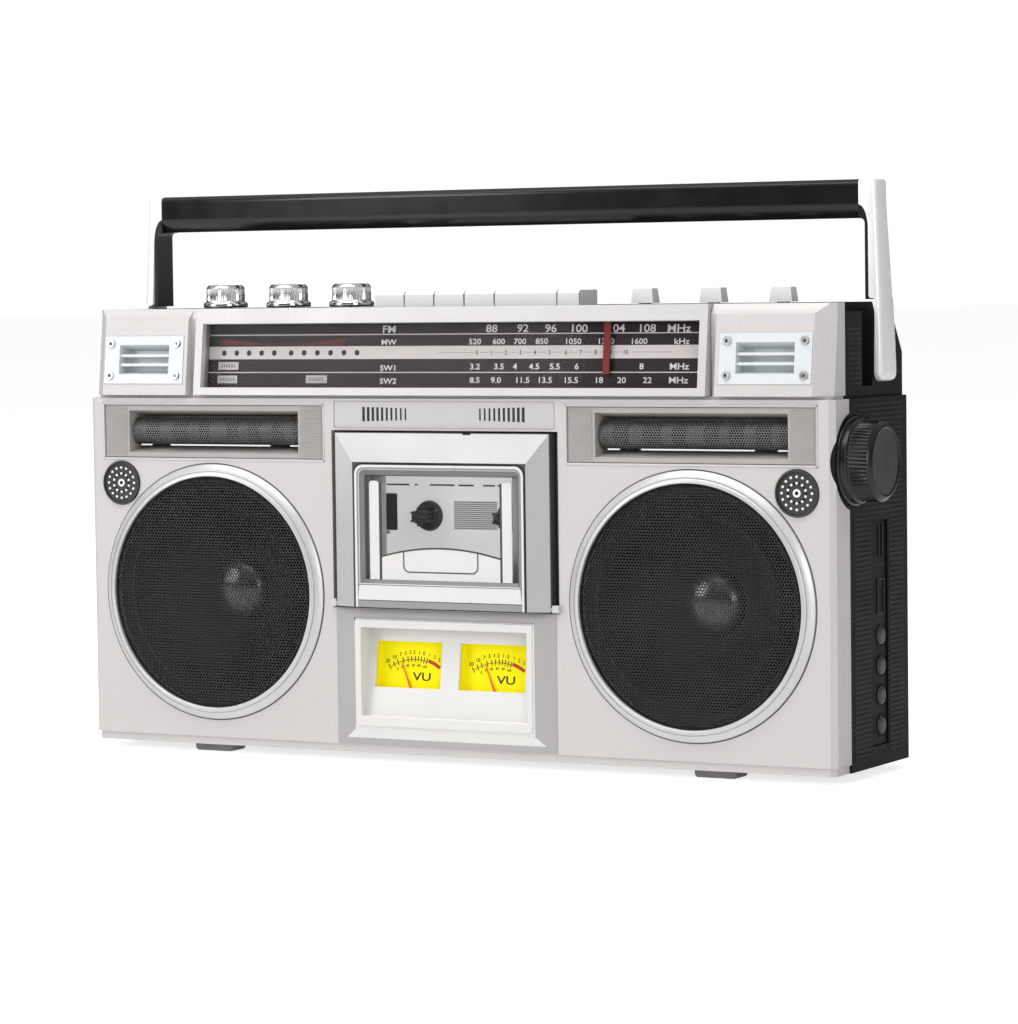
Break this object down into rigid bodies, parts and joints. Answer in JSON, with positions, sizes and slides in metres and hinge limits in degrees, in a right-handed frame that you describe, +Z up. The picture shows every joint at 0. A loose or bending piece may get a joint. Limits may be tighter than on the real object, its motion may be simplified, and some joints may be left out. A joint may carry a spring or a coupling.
{
  "type": "portable radio cassette recorder",
  "caption": "Portable radio cassette recorder with woofers, tuning dial, tape deck, level meters, push keys, rotary and slide controls, ports, folding handle and telescopic aerial.",
  "frame": {"origin": "bottom centre of the overall bounding box, on the plane the feet stand on; the case's own centre line is 6.4 mm to the -X side because the tuning knob stands out on the +X side", "axes": "+X to the right as seen from the front, +Y to the back, +Z up; the front faces -Y"},
  "size_m": [0.4012, 0.0848, 0.2612],
  "materials": {
    "silver_shell": "satin metallic paint",
    "bezel_silver": "satin metallic paint",
    "black_plastic": "fine texture",
    "black_gloss": "semi-gloss",
    "grille_steel": "black paint",
    "driver_iron": "zinc plated",
    "cone_paper": "pressed paper",
    "horn_grey": "satin",
    "satin_alloy": "satin",
    "chromed": "polished",
    "meter_yellow": "printed card",
    "needle_orange": "painted",
    "needle_red": "painted",
    "clear_window": "clear acrylic",
    "dial_brown": "printed",
    "deck_grey": "satin metallic paint",
    "steel_parts": "zinc plated",
    "brass_parts": "plain",
    "belt_rubber": "matt",
    "hub_plastic": "satin",
    "board_green": "solder mask"
  },
  "bodies": {
    "case": {"front_shell": "silver_shell", "speaker_rings": "silver_shell", "vu_frame": "silver_shell", "dial_bezel": "bezel_silver", "rear_housing": "black_plastic", "ac_inlet": "black_gloss", "speaker_grilles": "grille_steel", "tweeter_meshes": "grille_steel", "woofer_drivers": "driver_iron", "woofer_cones": "cone_paper", "tweeter_horns": "horn_grey", "mic_grilles": "horn_grey", "vent_plates": "satin_alloy", "vu_meters": "meter_yellow", "dial_window": "clear_window", "dial_plate": "dial_brown", "deck_plate": "deck_grey", "deck_motor": "steel_parts", "case_screws": "steel_parts", "media_sockets": "steel_parts", "mains_transformer": "steel_parts", "battery_contacts": "brass_parts", "drive_belt": "belt_rubber", "rubber_feet": "belt_rubber", "main_board": "board_green"},
    "handle": {"handle_grip": "black_gloss", "left_arm": "satin_alloy", "right_arm": "satin_alloy"},
    "volume_control": {"volume_knob": "chromed"},
    "balance_control": {"balance_knob": "chromed"},
    "tone_control": {"tone_knob": "chromed"},
    "record_lever": {"record_key": "chromed"},
    "play_lever": {"play_key": "chromed"},
    "rewind_lever": {"rewind_key": "chromed"},
    "forward_lever": {"forward_key": "chromed"},
    "stop_lever": {"stop_key": "chromed"},
    "pause_lever": {"pause_key": "chromed"},
    "function_switch": {"function_slider": "silver_shell"},
    "band_switch": {"band_slider": "silver_shell"},
    "mode_switch": {"mode_slider": "silver_shell"},
    "tuning": {"tuning_knob": "black_gloss"},
    "pointer": {"dial_needle": "needle_red"},
    "door": {"cassette_door": "silver_shell", "door_window": "clear_window", "cassette_holder": "deck_grey"},
    "meter_needle_left": {"vu_needle_left": "needle_orange"},
    "meter_needle_right": {"vu_needle_right": "needle_orange"},
    "skip_pad": {"skip_button": "black_gloss"},
    "back_pad": {"back_button": "black_gloss"},
    "play_pad": {"play_button": "black_gloss"},
    "mode_pad": {"mode_button": "black_gloss"},
    "capstan": {"flywheel": "steel_parts"},
    "motor_shaft": {"motor_pulley": "brass_parts"},
    "take_up": {"take_up_hub": "hub_plastic"},
    "supply": {"supply_hub": "hub_plastic"},
    "heads": {"head_carriage": "steel_parts"},
    "pinch": {"pinch_roller": "belt_rubber"},
    "battery_door": {"battery_cover": "black_plastic"},
    "antenna": {"antenna_base": "chromed"},
    "antenna_rod": {"antenna_tip": "chromed"}
  },
  "joints": [
    {"name": "handle_fold", "type": "hinge", "parent": "case", "child": "handle", "pos_m": [-0.0064, 0.018, 0.178], "axis": [-1, 0, 0], "range_deg": [0, 90]},
    {"name": "volume_turn", "type": "hinge", "parent": "case", "child": "volume_control", "pos_m": [-0.1405, -0.008, 0.209], "axis": [0, 0, 1], "range_deg": [-150, 150]},
    {"name": "balance_turn", "type": "hinge", "parent": "case", "child": "balance_control", "pos_m": [-0.1055, -0.008, 0.209], "axis": [0, 0, 1], "range_deg": [-150, 150]},
    {"name": "tone_turn", "type": "hinge", "parent": "case", "child": "tone_control", "pos_m": [-0.0711, -0.008, 0.209], "axis": [0, 0, 1], "range_deg": [-150, 150]},
    {"name": "record_press", "type": "slide", "parent": "case", "child": "record_lever", "axis": [0, 0, -1], "range_m": [0, 0.0035], "stiffness_N_per_m": 300},
    {"name": "play_press", "type": "slide", "parent": "case", "child": "play_lever", "axis": [0, 0, -1], "range_m": [0, 0.0035], "stiffness_N_per_m": 300},
    {"name": "rewind_press", "type": "slide", "parent": "case", "child": "rewind_lever", "axis": [0, 0, -1], "range_m": [0, 0.0035], "stiffness_N_per_m": 300},
    {"name": "forward_press", "type": "slide", "parent": "case", "child": "forward_lever", "axis": [0, 0, -1], "range_m": [0, 0.0035], "stiffness_N_per_m": 300},
    {"name": "stop_press", "type": "slide", "parent": "case", "child": "stop_lever", "axis": [0, 0, -1], "range_m": [0, 0.0035], "stiffness_N_per_m": 300},
    {"name": "pause_press", "type": "slide", "parent": "case", "child": "pause_lever", "axis": [0, 0, -1], "range_m": [0, 0.0035], "stiffness_N_per_m": 300},
    {"name": "function_slide", "type": "slide", "parent": "case", "child": "function_switch", "axis": [1, 0, 0], "range_m": [-0.01, 0.01]},
    {"name": "band_slide", "type": "slide", "parent": "case", "child": "band_switch", "axis": [1, 0, 0], "range_m": [-0.01, 0.01]},
    {"name": "mode_slide", "type": "slide", "parent": "case", "child": "mode_switch", "axis": [1, 0, 0], "range_m": [-0.01, 0.01]},
    {"name": "tuning_turn", "type": "hinge", "parent": "case", "child": "tuning", "pos_m": [0.1736, -0.016, 0.139], "axis": [1, 0, 0], "range_deg": [-800, 320]},
    {"name": "needle_travel", "type": "slide", "parent": "case", "child": "pointer", "axis": [1, 0, 0], "range_m": [-0.07, 0.028]},
    {"name": "door_open", "type": "hinge", "parent": "case", "child": "door", "pos_m": [-0.0064, -0.0389, 0.0726], "axis": [1, 0, 0], "range_deg": [0, 32]},
    {"name": "vu_swing_left", "type": "hinge", "parent": "case", "child": "meter_needle_left", "pos_m": [-0.0283, -0.0311, 0.03229], "axis": [0, 0.9903, -0.139], "range_deg": [0, 50], "stiffness_Nm_per_rad": 0.0004},
    {"name": "vu_swing_right", "type": "hinge", "parent": "case", "child": "meter_needle_right", "pos_m": [0.0155, -0.0311, 0.03229], "axis": [0, 0.9903, -0.139], "range_deg": [0, 50], "stiffness_Nm_per_rad": 0.0004},
    {"name": "skip_push", "type": "slide", "parent": "case", "child": "skip_pad", "axis": [-1, 0, 0], "range_m": [0, 0.001], "stiffness_N_per_m": 500},
    {"name": "back_push", "type": "slide", "parent": "case", "child": "back_pad", "axis": [-1, 0, 0], "range_m": [0, 0.001], "stiffness_N_per_m": 500},
    {"name": "play_push", "type": "slide", "parent": "case", "child": "play_pad", "axis": [-1, 0, 0], "range_m": [0, 0.001], "stiffness_N_per_m": 500},
    {"name": "mode_push", "type": "slide", "parent": "case", "child": "mode_pad", "axis": [-1, 0, 0], "range_m": [0, 0.001], "stiffness_N_per_m": 500},
    {"name": "flywheel_spin", "type": "hinge", "parent": "case", "child": "capstan", "pos_m": [0.0171, -0.003, 0.084], "axis": [0, 1, 0], "continuous": true},
    {"name": "motor_spin", "type": "hinge", "parent": "case", "child": "motor_shaft", "pos_m": [-0.0404, 0, 0.096], "axis": [0, 1, 0], "continuous": true},
    {"name": "take_up_spin", "type": "hinge", "parent": "case", "child": "take_up", "pos_m": [0.01485, -0.01, 0.1116], "axis": [0, 1, 0], "continuous": true},
    {"name": "supply_spin", "type": "hinge", "parent": "case", "child": "supply", "pos_m": [-0.02765, -0.01, 0.1116], "axis": [0, 1, 0], "continuous": true},
    {"name": "head_lift", "type": "slide", "parent": "case", "child": "heads", "axis": [0, 0, 1], "range_m": [0, 0.006]},
    {"name": "pinch_spin", "type": "hinge", "parent": "heads", "child": "pinch", "pos_m": [0.0171, -0.023, 0.071], "axis": [0, 1, 0], "continuous": true},
    {"name": "battery_door_open", "type": "hinge", "parent": "case", "child": "battery_door", "pos_m": [-0.0064, 0.04035, 0.0085], "axis": [-1, 0, 0], "range_deg": [0, 90]},
    {"name": "antenna_swing", "type": "hinge", "parent": "case", "child": "antenna", "pos_m": [0.1586, 0.038, 0.18], "axis": [0, 1, 0], "range_deg": [0, 90]},
    {"name": "antenna_extend", "type": "slide", "parent": "antenna", "child": "antenna_rod", "axis": [-1, 0, 0], "range_m": [0, 0.24]}
  ],
  "couplings": [
    {"joint": "needle_travel", "follows": "tuning_turn", "m_per_rad": 0.005},
    {"joint": "head_lift", "follows": "play_press", "ratio": 1.7},
    {"joint": "motor_spin", "follows": "flywheel_spin", "ratio": 5.5},
    {"joint": "take_up_spin", "follows": "flywheel_spin", "ratio": 0.2},
    {"joint": "supply_spin", "follows": "flywheel_spin", "ratio": 0.2},
    {"joint": "pinch_spin", "follows": "flywheel_spin", "ratio": -0.2182}
  ]
}
